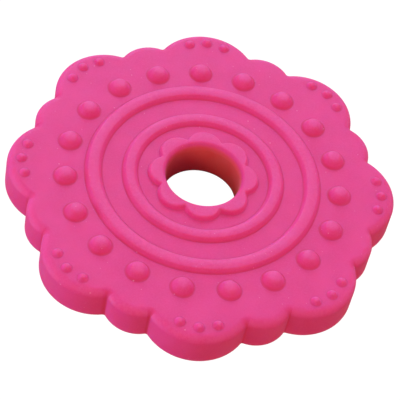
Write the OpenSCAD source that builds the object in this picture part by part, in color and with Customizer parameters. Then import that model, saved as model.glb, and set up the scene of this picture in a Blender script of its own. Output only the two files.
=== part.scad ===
// Flower-shaped silicone teething ring, lying flat.
// One moulding: a scalloped disc with a centre hole, and raised relief on its upper face.
// Each moulded feature is a solid of its own, and all of them stand on the disc's upper face.
// Millimetres. The origin is at the hole's centre on the underside, and +Z is up.

/* [Disc] */
// Width across two opposite large lobes
disc_w = 76; // [70:1:84]
// Thickness, without the relief
disc_t = 8; // [6:0.5:10]
// Rounding of the disc's upper and lower edges
edge_round = 1.6; // [0.8:0.1:2]

/* [Lobes] */
// Number of large lobes, with one small lobe between each two
lobe_count = 8; // [8]
// Radius of a large lobe
large_lobe_r = 10.5; // [10:0.1:11]
// Radius of a small lobe
small_lobe_r = 6.7; // [6.4:0.1:7.2]
// How far a small lobe's tip lies inside a large lobe's tip
small_lobe_inset = 2.5; // [2:0.1:3]

/* [Centre hole] */
// Diameter of the hole
hole_d = 14.4; // [13:0.2:14.8]
// Rounding of the hole's upper rim, on the petal collar
hole_high_round = 1; // [0.4:0.1:1]
// Rounding of the hole's lower rim, on the underside
hole_low_round = 1.6; // [0.4:0.1:1.6]

/* [Petal collar] */
// Height of the collar above the disc
collar_h = 1.1; // [0.8:0.1:1.4]
// Radius of the circle that the petals' centres lie on
petal_centre_r = 7.1; // [7:0.1:7.4]
// Radius of a petal, at its foot
petal_r = 3.9; // [3.7:0.1:4.2]
// Rounding of a petal's upper edge
petal_round = 0.75; // [0.3:0.05:0.8]

/* [Chewing rings] */
// Height of both rings above the disc
ring_h = 1; // [0.8:0.1:1.6]
// Middle diameter of the inner ring
inner_ring_d = 28.6; // [27:0.2:30]
// Width of the inner ring, at its foot
inner_ring_w = 3.3; // [2:0.1:3.6]
// Middle diameter of the outer ring
outer_ring_d = 42.8; // [41:0.2:44]
// Width of the outer ring, at its foot
outer_ring_w = 3.6; // [2:0.1:4]
// Rounding of a ring's upper edges
ring_round = 0.75; // [0.2:0.05:0.75]

/* [Large nubs] */
// Number of large nubs
large_nub_count = 19; // [12:1:22]
// Diameter of the circle that they stand on
large_nub_circle_d = 53.6; // [53:0.2:55]
// Diameter of a large nub
large_nub_d = 4.9; // [3.6:0.1:5]
// Height of a large nub
large_nub_h = 1.6; // [0.8:0.1:2]
// Direction of the first large nub, which lines up with a large lobe
first_nub_angle = 225; // [0:45:315]

/* [Small nubs] */
// Diameter of a small nub
small_nub_d = 2.4; // [1.6:0.1:2.5]
// Height of a small nub
small_nub_h = 0.8; // [0.5:0.1:1.2]
// Distance of the small nubs from their lobe's centre
small_nub_arc_r = 7.7; // [6.8:0.1:7.8]
// Angle between neighbouring small nubs, seen from their lobe's centre
small_nub_step = 27.5; // [24:0.5:36]

/* [Hidden] */
silicone = "#e6418f";
large_lobe_centre_r = disc_w / 2 - large_lobe_r;
small_lobe_centre_r = disc_w / 2 - small_lobe_inset - small_lobe_r;
lobe_step = 360 / lobe_count;
hole_r = hole_d / 2;
// Flat steps in each quarter of a rounded edge, and in a dome from its rim to its top
edge_steps = 4;
dome_steps = 8;
// How far a cutting tool runs past the face that it opens
past = 1;
$fn = 96;

// Places on a lobe's arc of small nubs, in steps from the middle one
ARC_PLACES = [-1, 0, 1];

function two_digits(number) = number < 10 ? str("0", number) : str(number);
function large_nub_name(i) = str("large_nub_", two_digits(i + 1));
function small_nub_name(lobe, place) = str("small_nub_", lobe + 1, ["_right", "_middle", "_left"][place + 1]);

// The point at distance r from the origin, in the direction of angle a
function polar(r, a) = r * [cos(a), sin(a)];

// Points of an arc of radius r about centre, from one angle to another
function arc(centre, r, from, to, steps) =
    [for (i = [0 : steps]) centre + polar(r, from + (to - from) * i / steps)];

// A round puck standing on z = 0, with rounded edges: the lower edge stays sharp where low_round is 0
module puck(r, h, low_round, high_round) {
    rotate_extrude()
        polygon(concat(
            [[0, 0]],
            low_round > 0 ? arc([r - low_round, low_round], low_round, -90, 0, edge_steps) : [[r, 0]],
            arc([r - high_round, h - high_round], high_round, 0, 90, edge_steps),
            [[0, h]]
        ));
}

// The tool that cuts the hole from z = 0 up to h, flared out at the rims that are rounded
module hole_tool(h, low_round, high_round) {
    rotate_extrude()
        polygon(concat(
            [[0, -past], [hole_r + low_round, -past]],
            low_round > 0 ? arc([hole_r + low_round, low_round], low_round, 270, 180, edge_steps) : [],
            high_round > 0 ? arc([hole_r + high_round, h - high_round], high_round, 180, 90, edge_steps) : [],
            [[hole_r + high_round, h + past], [0, h + past]]
        ));
}

// The scalloped body, with a large lobe on +X
module scalloped_disc() {
    core_r = large_lobe_centre_r + 2;
    color(silicone)
        difference() {
            union() {
                cylinder(r = core_r, h = disc_t);
                for (i = [0 : lobe_count - 1]) {
                    translate(polar(large_lobe_centre_r, i * lobe_step))
                        puck(large_lobe_r, disc_t, edge_round, edge_round);
                    translate(polar(small_lobe_centre_r, (i + 0.5) * lobe_step))
                        puck(small_lobe_r, disc_t, edge_round, edge_round);
                }
            }
            hole_tool(disc_t, hole_low_round, 0);
        }
}

// The eight-petalled rim round the hole
module petal_collar() {
    core_r = hole_r + 1.2;
    color(silicone)
        translate([0, 0, disc_t])
            difference() {
                union() {
                    cylinder(r = core_r, h = collar_h);
                    for (i = [0 : lobe_count - 1])
                        translate(polar(petal_centre_r, i * lobe_step))
                            puck(petal_r, collar_h, 0, petal_round);
                }
                hole_tool(collar_h, 0, hole_high_round);
            }
}

// A raised chewing ring of middle diameter d and width w
module chewing_ring(d, w) {
    color(silicone)
        translate([0, 0, disc_t])
            rotate_extrude()
                translate([d / 2, 0])
                    polygon(concat(
                        [[-w / 2, 0], [w / 2, 0]],
                        arc([w / 2 - ring_round, ring_h - ring_round], ring_round, 0, 90, edge_steps),
                        arc([ring_round - w / 2, ring_h - ring_round], ring_round, 90, 180, edge_steps)
                    ));
}

module inner_ring() {
    chewing_ring(inner_ring_d, inner_ring_w);
}

module outer_ring() {
    chewing_ring(outer_ring_d, outer_ring_w);
}

// A domed nub standing on the disc: half an ellipse, turned
module nub(d, h) {
    turns = [for (i = [0 : dome_steps]) 90 * i / dome_steps];
    color(silicone)
        translate([0, 0, disc_t])
            rotate_extrude()
                polygon(concat([[0, 0]], [for (turn = turns) [d / 2 * cos(turn), h * sin(turn)]]));
}

// Large nub i of the circle of large nubs
module large_nub(i) {
    translate(polar(large_nub_circle_d / 2, first_nub_angle + i * 360 / large_nub_count))
        nub(large_nub_d, large_nub_h);
}

// The small nub at one place on a large lobe's arc
module small_nub(lobe, place) {
    lobe_angle = lobe * lobe_step;
    lobe_centre = polar(large_lobe_centre_r, lobe_angle);
    translate(lobe_centre + polar(small_nub_arc_r, lobe_angle + place * small_nub_step))
        nub(small_nub_d, small_nub_h);
}

scalloped_disc();
petal_collar();
inner_ring();
outer_ring();
for (i = [0 : large_nub_count - 1])
    large_nub(i);
for (lobe = [0 : lobe_count - 1], place = ARC_PLACES)
    small_nub(lobe, place);
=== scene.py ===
"""Looks of the flower-shaped silicone teething ring. Metres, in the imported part's own frame, +Z up."""
import math

import bpy
import numpy as np
from mathutils import Matrix, Vector


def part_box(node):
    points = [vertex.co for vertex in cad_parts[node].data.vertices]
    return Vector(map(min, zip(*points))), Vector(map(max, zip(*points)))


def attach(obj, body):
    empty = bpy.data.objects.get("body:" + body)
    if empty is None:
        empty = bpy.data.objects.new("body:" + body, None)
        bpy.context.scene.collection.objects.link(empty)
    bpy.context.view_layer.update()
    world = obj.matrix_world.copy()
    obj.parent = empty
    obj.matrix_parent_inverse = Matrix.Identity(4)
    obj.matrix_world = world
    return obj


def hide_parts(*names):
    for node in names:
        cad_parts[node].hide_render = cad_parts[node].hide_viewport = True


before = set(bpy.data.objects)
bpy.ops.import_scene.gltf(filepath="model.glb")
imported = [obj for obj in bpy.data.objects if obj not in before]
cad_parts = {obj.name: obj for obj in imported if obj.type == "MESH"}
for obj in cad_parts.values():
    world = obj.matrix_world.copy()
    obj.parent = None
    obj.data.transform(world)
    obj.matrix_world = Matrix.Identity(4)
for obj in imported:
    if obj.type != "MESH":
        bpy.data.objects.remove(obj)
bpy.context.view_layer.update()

MM = 0.001

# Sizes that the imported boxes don't give
LARGE_LOBE_R = 10.5 * MM
SMALL_LOBE_R = 6.7 * MM
SMALL_LOBE_INSET = 2.5 * MM
NOTCH_R = 0.4 * MM
EDGE_ROUND = 1.6 * MM
HOLE_FLARE_RUN = 0.95 * MM
HOLE_FLARE_DROP = 2.2 * MM
HOLE_LOW_ROUND = 1.6 * MM
PETAL_R = 3.9 * MM
PETAL_NOTCH_R = 0.4 * MM
PETAL_FLANK = 0.8 * MM
PETAL_FOOT_R = 0.25 * MM
PETAL_CROWN_R = 0.4 * MM
# How deep a raised feature reaches into the disc, so that no gap shows at its foot
SEAT = 0.3 * MM

# Sections of the raised features: the radii of the foot and the shoulder, and the slopes in degrees
RING_SHAPE = {"foot_r": 0.25 * MM, "side_slope": 55, "shoulder_r": 0.4 * MM, "crown_slope": 12}
LARGE_NUB_SHAPE = {"foot_r": 0.5 * MM, "side_slope": 60, "shoulder_r": 1.1 * MM, "crown_slope": 9}
SMALL_NUB_SHAPE = {"foot_r": 0.3 * MM, "side_slope": 52, "shoulder_r": 0.5 * MM, "crown_slope": 10}
# Points along the foot, the shoulder and the crown of such a section
FOOT_POINTS = 4
SHOULDER_POINTS = 7
CROWN_POINTS = 5
# How far up a ring or a nub the painted shade of the crease at its foot reaches, as a share of its height
CREASE_SHADE_SHARE = 0.45

# Linear colours of the silicone, and of the painted highlight, shade and glow on it
DEEP_PINK = (0.78, 0.058, 0.265, 1)
CLOUD_PINK = (0.82, 0.074, 0.295, 1)
GRAIN_PINK = (0.86, 0.12, 0.36, 1)
# Bloom on rubbed edges and crowns, which is also a painted highlight there
BLOOM_HIGHLIGHT_PINK = (0.88, 0.16, 0.40, 1)
# Painted shade in the creases at the feet of the rings and nubs and in the notches
CREASE_SHADE_PINK = (0.77, 0.052, 0.205, 1)
LINT_PINK = (0.94, 0.48, 0.66, 1)
# A painted red glow on the hole's wall under its rim, and painted shade towards its foot and its -X side
HOLE_GLOW_RED = (0.97, 0.16, 0.10, 1)
HOLE_SHADE_RED = (0.52, 0.048, 0.04, 1)

LOBE_COUNT = 8
LOBE_STEP = math.tau / LOBE_COUNT


# Outlines and profiles


def polar(radius, angle):
    return np.array([radius * math.cos(angle), radius * math.sin(angle)])


def angle_of(vector):
    return math.atan2(vector[1], vector[0])


def radial_range(node):
    """Least and greatest distance of a CAD node from the Z axis."""
    distances = [v.co.xy.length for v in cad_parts[node].data.vertices]
    return min(distances), max(distances)


def notch_centre(lobe, next_lobe, notch_r):
    """Centre of the small circle that rounds the notch between two overlapping lobes, outside both."""
    (centre, radius), (next_centre, next_radius) = lobe, next_lobe
    gap = next_centre - centre
    distance = np.linalg.norm(gap)
    along = gap / distance
    outward = np.array([along[1], -along[0]])
    reach, next_reach = radius + notch_r, next_radius + notch_r
    on_line = (distance**2 + reach**2 - next_reach**2) / (2 * distance)
    return centre + on_line * along + math.sqrt(reach**2 - on_line**2) * outward


def lobed_outline(lobes, notch_r, lobe_steps, notch_steps):
    """Points and outward normals of a counter-clockwise outline of round lobes with rounded notches."""
    points, normals = [], []
    for i, (centre, radius) in enumerate(lobes):
        next_lobe = lobes[(i + 1) % len(lobes)]
        before = notch_centre(lobes[i - 1], lobes[i], notch_r)
        after = notch_centre(lobes[i], next_lobe, notch_r)
        start = angle_of(before - centre)
        sweep = (angle_of(after - centre) - start) % math.tau
        for step in range(lobe_steps):
            normal = polar(1, start + sweep * step / lobe_steps)
            points.append(centre + radius * normal)
            normals.append(normal)
        start = angle_of(centre - after)
        sweep = (start - angle_of(next_lobe[0] - after)) % math.tau
        for step in range(notch_steps):
            inward = polar(1, start - sweep * step / notch_steps)
            points.append(after + notch_r * inward)
            normals.append(-inward)
    return np.array(points), np.array(normals)


def quarter_round(radius, steps):
    """(inset, drop) pairs of a convex quarter turn, from the flat face down to the wall."""
    turns = [math.pi / 2 * i / steps for i in range(steps + 1)]
    return [(radius * (1 - math.sin(turn)), radius * (1 - math.cos(turn))) for turn in turns]


def foot_arc(radius, turns):
    """(distance, height) pairs of a hollow foot, which leaves the level more steeply at each turn."""
    return [(radius * math.sin(turn), radius * (1 - math.cos(turn))) for turn in turns]


def crown_arc(run, rise, radius, turns):
    """(distance, height) pairs of a round crown that is level at (run, rise)."""
    return [(run - radius * math.sin(turn), rise - radius * (1 - math.cos(turn))) for turn in turns]


def s_curve(run, rise, foot_r, crown_r, steps):
    """(distance from the foot, height) pairs of a flank: a hollow foot, a slope and a round crown."""
    both = foot_r + crown_r
    slope = math.atan2(rise - both, run) + math.asin(both / math.hypot(run, rise - both))
    turns = [slope * i / steps for i in range(steps + 1)]
    return foot_arc(foot_r, turns) + crown_arc(run, rise, crown_r, reversed(turns))


def relief_profile(run, rise, foot_r, side_slope, shoulder_r, crown_slope):
    """(distance from the foot, height) pairs of a raised feature's section, from its foot to its middle.

    The foot is hollow, the side is straight, and a round shoulder leads to a crown, level at (run, rise).
    The side's length and the crown's radius are the two that make the section end there.
    """
    side, crown = math.radians(side_slope), math.radians(crown_slope)
    foot_end = np.array(foot_arc(foot_r, [side])[0])
    shoulder = shoulder_r * np.array([math.sin(side) - math.sin(crown), math.cos(crown) - math.cos(side)])
    directions = [[math.cos(side), math.sin(crown)], [math.sin(side), 1 - math.cos(crown)]]
    side_length, crown_r = np.linalg.solve(directions, np.array([run, rise]) - foot_end - shoulder)
    side_end = foot_end + side_length * polar(1, side)
    foot = foot_arc(foot_r, np.linspace(0, side, FOOT_POINTS))
    bend = [
        side_end + shoulder_r * np.array([math.sin(side) - math.sin(turn), math.cos(turn) - math.cos(side)])
        for turn in np.linspace(side, crown, SHOULDER_POINTS)
    ]
    return foot + bend + crown_arc(run, rise, crown_r, np.linspace(crown, 0, CROWN_POINTS)[1:])


def relief_wear_and_shade(share, crease=1):
    """Painted shade and highlight at this share of a ring's or a nub's height: painted shade in the crease
    at its foot, bloom and a painted highlight towards the crown.
    """
    return share**2 - crease * max(0, 1 - share / CREASE_SHADE_SHARE)


def hole_flare(first_depth, last_depth, steps):
    """(widening, depth below the rim) pairs of the hole's upper wall, a quarter of an ellipse."""
    first, last = [math.asin(1 - depth / HOLE_FLARE_DROP) for depth in (first_depth, last_depth)]
    run, drop = HOLE_FLARE_RUN, HOLE_FLARE_DROP
    turns = np.linspace(first, last, steps + 1)
    return [(run * (1 - math.cos(turn)), drop * (1 - math.sin(turn))) for turn in turns]


# Meshes


def new_piece(name, vertices, faces, wear_and_shade):
    """A smooth mesh object at the origin, with each vertex's wear_and_shade: -1 for painted shade in a
    crease, 1 for bloom and a painted highlight on a rubbed edge.
    """
    mesh = bpy.data.meshes.new(name)
    mesh.from_pydata(vertices, [], faces)
    mesh.validate()
    mesh.attributes.new("wear_and_shade", "FLOAT", "POINT").data.foreach_set("value", wear_and_shade)
    mesh.polygons.foreach_set("use_smooth", [True] * len(mesh.polygons))
    mesh.set_sharp_from_angle(angle=math.radians(40))
    piece = bpy.data.objects.new(name, mesh)
    bpy.context.scene.collection.objects.link(piece)
    return piece


def band_faces(count, loops, closed):
    """Quads between neighbouring loops of count points, and from the last loop to the first if closed."""
    faces = []
    for k in range(loops if closed else loops - 1):
        low, high = k * count, (k + 1) % loops * count
        for i in range(count):
            j = (i + 1) % count
            faces.append((low + i, low + j, high + j, high + i))
    return faces


def hollow_piece(name, loops):
    """A closed piece with a hole, from (points, height, wear_and_shade) loops once round its section.

    The loops start outside and run over the top to the inside, so that the faces point outwards.
    """
    vertices = [(x, y, z) for points, z, _ in loops for x, y in points]
    wear_and_shade = [float(w) for points, _, loop_wear_and_shade in loops for w in np.broadcast_to(loop_wear_and_shade, len(points))]
    faces = band_faces(len(loops[0][0]), len(loops), closed=True)
    return new_piece(name, vertices, faces, wear_and_shade)


def circle(radius, angles, centre=(0, 0)):
    return [polar(radius, angle) + centre for angle in angles]


def even_angles(count):
    return [math.tau * i / count for i in range(count)]


# Pieces


def build_disc():
    """The scalloped body. Its section runs up the wall, over the top, down the hole and back underneath."""
    low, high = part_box("scalloped_disc")
    rim_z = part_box("petal_collar")[1].z
    hole_r, half_width = radial_range("scalloped_disc")
    large_centre = half_width - LARGE_LOBE_R
    small_centre = half_width - SMALL_LOBE_INSET - SMALL_LOBE_R
    lobes = []
    for i in range(LOBE_COUNT):
        lobes.append((polar(large_centre, i * LOBE_STEP), LARGE_LOBE_R))
        lobes.append((polar(small_centre, (i + 0.5) * LOBE_STEP), SMALL_LOBE_R))
    lobe_steps, notch_steps = 28, 10
    points, normals = lobed_outline(lobes, NOTCH_R, lobe_steps, notch_steps)
    angles = [angle_of(p) for p in points]
    in_notch = np.tile([0] * lobe_steps + [1] * notch_steps, len(lobes))

    def inset(distance, z, wear_and_shade, crease=0):
        """The outline moved inwards, with the given bloom and painted highlight on its lobes and painted
        shade in its notches.
        """
        return points - distance * normals, z, wear_and_shade - in_notch * (wear_and_shade + crease)

    def ring(radius, z, wear_and_shade):
        return circle(radius, angles), z, wear_and_shade

    edge_steps = 10
    edge = quarter_round(EDGE_ROUND, edge_steps)
    wall_margin = EDGE_ROUND + 0.8 * MM
    loops = [inset(inward, low.z + rise, wear_and_shade=0.5, crease=1) for inward, rise in edge]
    loops += [inset(0, z, wear_and_shade=0, crease=1) for z in (low.z + wall_margin, high.z - wall_margin)]
    for i in reversed(range(edge_steps + 1)):
        inward, drop = edge[i]
        share = i / edge_steps
        loops.append(inset(inward, high.z - drop, wear_and_shade=math.sin(math.pi * share), crease=share))
    # On the flat top the bloom and painted highlight fade out, inwards from the edge
    fade_start, fade_end = EDGE_ROUND + 0.6 * MM, EDGE_ROUND + 4 * MM
    loops += [inset(fade_start, high.z, wear_and_shade=0.1), inset(fade_end, high.z, wear_and_shade=0)]
    loops.append(ring(hole_r + SEAT, high.z, wear_and_shade=0))
    # The collar holds the upper part of the flared wall, down to its seat
    for widening, depth in hole_flare(rim_z - high.z + SEAT, HOLE_FLARE_DROP, steps=4):
        loops.append(ring(hole_r + widening, rim_z - depth, wear_and_shade=0))
    for widening, rise in reversed(quarter_round(HOLE_LOW_ROUND, steps=8)):
        loops.append(ring(hole_r + widening, low.z + rise, wear_and_shade=0.3))
    piece = hollow_piece("silicone_disc", loops)
    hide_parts("scalloped_disc")
    return piece


def build_collar():
    """The petalled rim round the hole. Its section runs up a petal's flank and down into the hole."""
    low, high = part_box("petal_collar")
    hole_r, reach = radial_range("petal_collar")
    height = high.z - low.z
    centres = [polar(reach - PETAL_R, i * LOBE_STEP) for i in range(LOBE_COUNT)]

    def petals(petal_r):
        """Outline of eight petals of this radius."""
        lobes = [(centre, petal_r) for centre in centres]
        return lobed_outline(lobes, PETAL_NOTCH_R, lobe_steps=20, notch_steps=6)[0]

    foot, crown = petals(PETAL_R), petals(PETAL_R - PETAL_FLANK)
    angles = [angle_of(p) for p in crown]
    # Bloom and a painted highlight on the rim of the hole
    rim_wear_and_highlight = 0.5
    loops = [(foot, low.z - SEAT, 0)]
    for inward, rise in s_curve(PETAL_FLANK, height, PETAL_FOOT_R, PETAL_CROWN_R, steps=6):
        outline = foot + (crown - foot) * (inward / PETAL_FLANK)
        loops.append((outline, low.z + rise, rise / height))
    for widening, depth in hole_flare(0, height + SEAT, steps=10):
        wear_and_shade = rim_wear_and_highlight * widening / HOLE_FLARE_RUN
        loops.append((circle(hole_r + widening, angles), high.z - depth, wear_and_shade))
    piece = hollow_piece("collar_of_petals", loops)
    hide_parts("petal_collar")
    return piece


def build_chewing_ring(node, name):
    """A raised ring with sloping flanks and a slightly crowned top."""
    low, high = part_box(node)
    inner_r, outer_r = radial_range(node)
    angles = even_angles(count=192)
    height = high.z - low.z
    profile = relief_profile((outer_r - inner_r) / 2, height, **RING_SHAPE)
    flank = [(inward, low.z + rise, relief_wear_and_shade(rise / height)) for inward, rise in profile]
    loops = [(circle(outer_r, angles), low.z - SEAT, relief_wear_and_shade(0))]
    loops += [(circle(outer_r - inward, angles), z, wear_and_shade) for inward, z, wear_and_shade in flank[:-1]]
    loops += [(circle(inner_r + inward, angles), z, wear_and_shade) for inward, z, wear_and_shade in reversed(flank)]
    loops += [(circle(inner_r, angles), low.z - SEAT, relief_wear_and_shade(0))]
    piece = hollow_piece(name, loops)
    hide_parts(node)
    return piece


def build_nub(node, name, segments, crease, **shape):
    """A domed nub, closed at the middle of its crown and underneath."""
    low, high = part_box(node)
    centre = ((low.x + high.x) / 2, (low.y + high.y) / 2)
    radius = (high.x - low.x) / 2
    height = high.z - low.z
    angles = even_angles(segments)
    profile = relief_profile(radius, height, **shape)
    loops = [(circle(radius, angles, centre), low.z - SEAT)]
    loops += [(circle(radius - inward, angles, centre), low.z + rise) for inward, rise in profile[:-1]]
    vertices = [(x, y, z) for points, z in loops for x, y in points]
    faces = band_faces(segments, len(loops), closed=False)
    last_loop = (len(loops) - 1) * segments
    top = len(vertices)
    bottom = top + 1
    vertices += [(*centre, high.z), (*centre, low.z - SEAT)]
    for i in range(segments):
        j = (i + 1) % segments
        faces.append((last_loop + i, last_loop + j, top))
        faces.append((j, i, bottom))
    wear_and_shade = [relief_wear_and_shade(max(0, (z - low.z) / height), crease) for _, _, z in vertices]
    piece = new_piece(name, vertices, faces, wear_and_shade)
    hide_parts(node)
    return piece


def build_large_nub(node):
    name = node.replace("large_nub", "big_dome")
    return build_nub(node, name, segments=48, crease=1, **LARGE_NUB_SHAPE)


def build_small_nub(node):
    name = node.replace("small_nub", "little_dome")
    return build_nub(node, name, segments=32, crease=0.4, **SMALL_NUB_SHAPE)


def build_pieces():
    pieces = [build_disc(), build_collar()]
    pieces.append(build_chewing_ring("inner_ring", "chewing_ring_inner"))
    pieces.append(build_chewing_ring("outer_ring", "chewing_ring_outer"))
    for node in sorted(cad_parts):
        if node.startswith("large_nub_"):
            pieces.append(build_large_nub(node))
        if node.startswith("small_nub_"):
            pieces.append(build_small_nub(node))
    return pieces


# Materials


class Graph:
    """A short way to add and link a material's nodes."""

    def __init__(self, material):
        material.use_nodes = True
        self.tree = material.node_tree
        self.shader = self.tree.nodes["Principled BSDF"]

    def set_input(self, socket, value):
        if isinstance(value, bpy.types.NodeSocket):
            self.tree.links.new(value, socket)
        else:
            socket.default_value = value

    def add(self, kind, inputs, **settings):
        node = self.tree.nodes.new(kind)
        for key, value in settings.items():
            setattr(node, key, value)
        for key, value in inputs.items():
            self.set_input(node.inputs[key], value)
        return node

    def noise(self, where, wavelength, detail=2):
        """Noise from 0 to 1 whose blotches are about one wavelength across."""
        inputs = {"Vector": where, "Scale": 1 / wavelength, "Detail": detail, "Roughness": 0.6}
        return self.add("ShaderNodeTexNoise", inputs).outputs["Fac"]

    def maths(self, operation, first, second):
        return self.add("ShaderNodeMath", {0: first, 1: second}, operation=operation).outputs[0]

    def times(self, first, second):
        return self.maths("MULTIPLY", first, second)

    def between(self, value, low, high, to_low=0, to_high=1):
        """Value spread smoothly from low..high to to_low..to_high."""
        inputs = {"Value": value, "From Min": low, "From Max": high, "To Min": to_low, "To Max": to_high}
        return self.add("ShaderNodeMapRange", inputs, interpolation_type="SMOOTHSTEP").outputs["Result"]

    def blend(self, share, first, second):
        """The first colour where share is 0, and the second where it is 1."""
        node = self.add("ShaderNodeMix", {}, data_type="RGBA")
        # The node has a set of sockets for each kind of data, and these are the ones for colours
        share_socket, first_socket, second_socket = node.inputs[0], node.inputs[6], node.inputs[7]
        self.set_input(share_socket, share)
        self.set_input(first_socket, first)
        self.set_input(second_socket, second)
        return node.outputs[2]


def lint(graph, where, cell, radius, share):
    """1 on small round specks of lint of this radius, in this share of a random pattern's cells."""
    cells = graph.add("ShaderNodeTexVoronoi", {"Vector": where, "Scale": 1 / cell, "Randomness": 1})
    chosen = graph.add("ShaderNodeSeparateColor", {"Color": cells.outputs["Color"]}).outputs["Red"]
    chosen = graph.maths("LESS_THAN", chosen, share)
    spot = graph.between(cells.outputs["Distance"], 0.5 * radius / cell, radius / cell, 1, 0)
    return graph.times(chosen, spot)


def hole_glow_shade_masks(graph, where):
    """1 on the hole's wall and 0 away from it, and how far its painted red glow turns to painted shade:
    most at its foot on the -X side.
    """
    hole_r = radial_range("petal_collar")[0]
    rim_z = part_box("petal_collar")[1].z
    wall_fade = 0.44 * MM
    # A step towards +X counts as about as long a step up the wall, so the painted shade reaches higher on
    # the -X side
    rise_per_x = 1.05
    deepest, palest = -1.5 * MM, rim_z - 1 * MM

    flat = graph.add("ShaderNodeVectorMath", {0: where, 1: (1, 1, 0)}, operation="MULTIPLY")
    radius = graph.add("ShaderNodeVectorMath", {0: flat.outputs["Vector"]}, operation="LENGTH")
    wall = graph.between(radius.outputs["Value"], hole_r, hole_r + wall_fade, 1, 0)
    place = graph.add("ShaderNodeSeparateXYZ", {"Vector": where})
    level = graph.maths("ADD", place.outputs["Z"], graph.times(place.outputs["X"], rise_per_x))
    return wall, graph.between(level, deepest, palest, 1, 0)


def silicone_pigment(graph, where, specks):
    """Cloudy pink with a pale grain, bloom and a painted highlight on worn edges, painted shade in creases,
    lint, and a painted red glow and shade in the hole.
    """
    clouds = graph.between(graph.noise(where, 5 * MM, detail=4), 0.3, 0.7)
    pigment = graph.blend(clouds, DEEP_PINK, CLOUD_PINK)
    grain = graph.between(graph.noise(where, 0.35 * MM), 0.35, 0.75, 0, 0.25)
    pigment = graph.blend(grain, pigment, GRAIN_PINK)

    # Above 0 the attribute gives bloom with a painted highlight, below 0 painted shade in creases
    wear_and_shade = graph.add("ShaderNodeAttribute", {}, attribute_name="wear_and_shade").outputs["Fac"]
    patches = graph.between(graph.noise(where, 0.7 * MM, detail=3), 0.3, 0.75, 0.4, 1)
    # Bloom and a painted highlight in blotches on rubbed edges and crowns
    rubbed_highlight = graph.times(graph.between(wear_and_shade, 0, 1), patches)
    pigment = graph.blend(graph.times(rubbed_highlight, 0.38), pigment, BLOOM_HIGHLIGHT_PINK)
    # Painted shade in the creases
    pigment = graph.blend(graph.between(wear_and_shade, 0, -1), pigment, CREASE_SHADE_PINK)
    pigment = graph.blend(graph.times(specks, 0.55), pigment, LINT_PINK)

    # The hole's wall is painted: a red glow under its rim that turns to painted shade towards its foot and
    # its -X side
    hole_wall, depth = hole_glow_shade_masks(graph, where)
    inside = graph.blend(depth, HOLE_GLOW_RED, HOLE_SHADE_RED)
    return graph.blend(graph.times(hole_wall, 0.85), pigment, inside)


def silicone_roughness(graph, where, specks):
    """Matte in soft patches, and duller on the lint."""
    patches = graph.between(graph.noise(where, 2.5 * MM, detail=3), 0.3, 0.7, 0.44, 0.56)
    return graph.maths("ADD", patches, graph.times(specks, 0.3))


def silicone_normal(graph, where, specks):
    """Slow waves in the surface, and the mould's fine grain over them with the lint standing out."""
    waves = graph.noise(where, 6 * MM, detail=1)
    swell = graph.add("ShaderNodeBump", {"Height": waves, "Strength": 0.5, "Distance": 0.08 * MM})
    fine_grain = graph.noise(where, 0.22 * MM, detail=3)
    texture = graph.maths("ADD", fine_grain, graph.times(specks, 0.8))
    inputs = {"Height": texture, "Strength": 0.5, "Distance": 0.02 * MM, "Normal": swell.outputs["Normal"]}
    return graph.add("ShaderNodeBump", inputs).outputs["Normal"]


def silicone_material():
    """Matte pink silicone, shared by all the pieces."""
    material = bpy.data.materials.new("pink_silicone")
    graph = Graph(material)
    shader = graph.shader
    where = graph.add("ShaderNodeTexCoord", {}).outputs["Object"]
    large_specks = lint(graph, where, cell=2.6 * MM, radius=0.18 * MM, share=0.35)
    small_specks = lint(graph, where, cell=1.1 * MM, radius=0.12 * MM, share=0.16)
    specks = graph.maths("MAXIMUM", large_specks, small_specks)
    graph.set_input(shader.inputs["Base Color"], silicone_pigment(graph, where, specks))
    graph.set_input(shader.inputs["Roughness"], silicone_roughness(graph, where, specks))
    graph.set_input(shader.inputs["Normal"], silicone_normal(graph, where, specks))

    shader.inputs["IOR"].default_value = 1.41
    shader.inputs["Subsurface Weight"].default_value = 1.0
    shader.inputs["Subsurface Radius"].default_value = (1.0, 0.2, 0.3)
    shader.inputs["Subsurface Scale"].default_value = 0.25 * MM
    shader.inputs["Sheen Weight"].default_value = 0.08
    shader.inputs["Sheen Roughness"].default_value = 0.4
    shader.inputs["Sheen Tint"].default_value = (1, 0.7, 0.85, 1)
    return material


# Stage


def floor_material():
    """White that glows by itself, so that it hardly darkens in shade."""
    material = bpy.data.materials.new("pale_floor")
    shader = Graph(material).shader
    shader.inputs["Base Color"].default_value = (0.08, 0.08, 0.08, 1)
    shader.inputs["Roughness"].default_value = 0.9
    shader.inputs["Specular IOR Level"].default_value = 0.0
    shader.inputs["Emission Color"].default_value = (1, 1, 1, 1)
    shader.inputs["Emission Strength"].default_value = 1.0
    return material


def stage_disc(name, loops, material):
    """A round sheet that belongs to the stage, from (radius, height) loops. The first loop is filled."""
    angles = even_angles(count=48)
    mesh = bpy.data.meshes.new(name)
    vertices = [(x, y, z) for radius, z in loops for x, y in circle(radius, angles)]
    faces = [tuple(range(len(angles)))] + band_faces(len(angles), len(loops), closed=False)
    mesh.from_pydata(vertices, [], faces)
    mesh.materials.append(material)
    sheet = bpy.data.objects.new(name, mesh)
    bpy.context.scene.collection.objects.link(sheet)
    return sheet


def build_floor():
    """The floor and the wall round it give the part no light: the world stands for what they bounce."""
    wall_r, wall_h = 2.0, 1.5
    floor = stage_disc("floor", [(wall_r, 0), (wall_r, wall_h)], floor_material())
    floor.visible_diffuse = False
    floor.visible_glossy = False
    floor.visible_shadow = False


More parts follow.
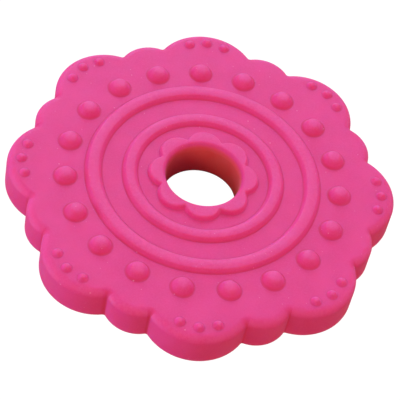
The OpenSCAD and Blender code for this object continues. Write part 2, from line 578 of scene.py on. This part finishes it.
def build_hole_shade():
    """A dark disc just under the hole, unseen by the camera, that keeps the world's bounce out of it."""
    material = bpy.data.materials.new("shade")
    shader = Graph(material).shader
    shader.inputs["Base Color"].default_value = (0.02, 0.02, 0.02, 1)
    shader.inputs["Specular IOR Level"].default_value = 0.0
    overlap, gap = 2 * MM, 0.1 * MM
    radius = radial_range("scalloped_disc")[0] + overlap
    shade = stage_disc("hole_shade", [(radius, -gap)], material)
    shade.visible_camera = False


def add_area_light(name, azimuth, elevation, size, watts, colour):
    """A round softbox 1 m from the part, facing it. Azimuth is counted from +X, in degrees."""
    light = bpy.data.lights.new(name, "AREA")
    light.shape = "DISK"
    light.size = size
    light.energy = watts
    light.color = colour
    lamp = bpy.data.objects.new(name, light)
    bpy.context.scene.collection.objects.link(lamp)
    sideways = polar(math.cos(math.radians(elevation)), math.radians(azimuth))
    place = Vector((*sideways, math.sin(math.radians(elevation))))
    lamp.location = place
    lamp.rotation_mode = "QUATERNION"
    lamp.rotation_quaternion = (-place).to_track_quat("-Z", "Y")


def add_world():
    """A soft room: even pinkish light from above, and a dim warm bounce from below."""
    world = bpy.data.worlds.new("studio")
    bpy.context.scene.world = world
    world.use_nodes = True
    tree = world.node_tree
    direction = tree.nodes.new("ShaderNodeTexCoord")
    parts = tree.nodes.new("ShaderNodeSeparateXYZ")
    ramp = tree.nodes.new("ShaderNodeValToRGB")
    below, above = ramp.color_ramp.elements
    below.color = (0.44, 0.17, 0.07, 1)
    above.color = (0.91, 0.56, 0.615, 1)
    above.position = 0.04
    tree.links.new(direction.outputs["Generated"], parts.inputs["Vector"])
    tree.links.new(parts.outputs["Z"], ramp.inputs["Fac"])
    tree.links.new(ramp.outputs["Color"], tree.nodes["Background"].inputs["Color"])


def add_lights():
    """The room, two softboxes behind the part, and two on its -X side, one of them below the floor."""
    add_world()
    add_area_light("back_key", azimuth=90, elevation=45, size=0.7, watts=3.7, colour=(0.09, 0.54, 1.0))
    add_area_light("low_back", azimuth=95, elevation=18, size=0.5, watts=2.0, colour=(0.52, 0.58, 1.0))
    add_area_light("left_fill", azimuth=185, elevation=12, size=0.4, watts=2.4, colour=(0.40, 0.33, 1.0))
    add_area_light("left_bounce", azimuth=190, elevation=-12, size=0.4, watts=3.3, colour=(0.43, 0.60, 1.0))


def add_camera():
    """The camera looks down at the part from the front, slightly from its left, and leans to one side."""
    azimuth, elevation, roll = math.radians(-8.96), math.radians(51.3), math.radians(13.07)
    target = Vector((0, 0, 7.4 * MM))
    distance = 358.9 * MM
    aim_left, aim_low = 0.53 * MM, 4.08 * MM
    back = Vector((
        math.sin(azimuth) * math.cos(elevation),
        -math.cos(azimuth) * math.cos(elevation),
        math.sin(elevation),
    ))
    level = (-back).cross(Vector((0, 0, 1))).normalized()
    upright = level.cross(-back)
    right = level * math.cos(roll) + upright * math.sin(roll)
    up = upright * math.cos(roll) - level * math.sin(roll)
    camera_data = bpy.data.cameras.new("camera")
    camera_data.lens = 166.5
    camera_data.sensor_width = 36
    camera_data.clip_start = 0.01
    camera = bpy.data.objects.new("camera", camera_data)
    bpy.context.scene.collection.objects.link(camera)
    place = target + distance * back - aim_left * right - aim_low * up
    camera.matrix_world = Matrix.Translation(place) @ Matrix((right, up, back)).transposed().to_4x4()
    bpy.context.scene.camera = camera


bpy.context.scene.view_settings.view_transform = "Standard"
add_camera()
add_lights()
build_floor()
build_hole_shade()
silicone = silicone_material()
for piece in build_pieces():
    piece.data.materials.append(silicone)
    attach(piece, "root")
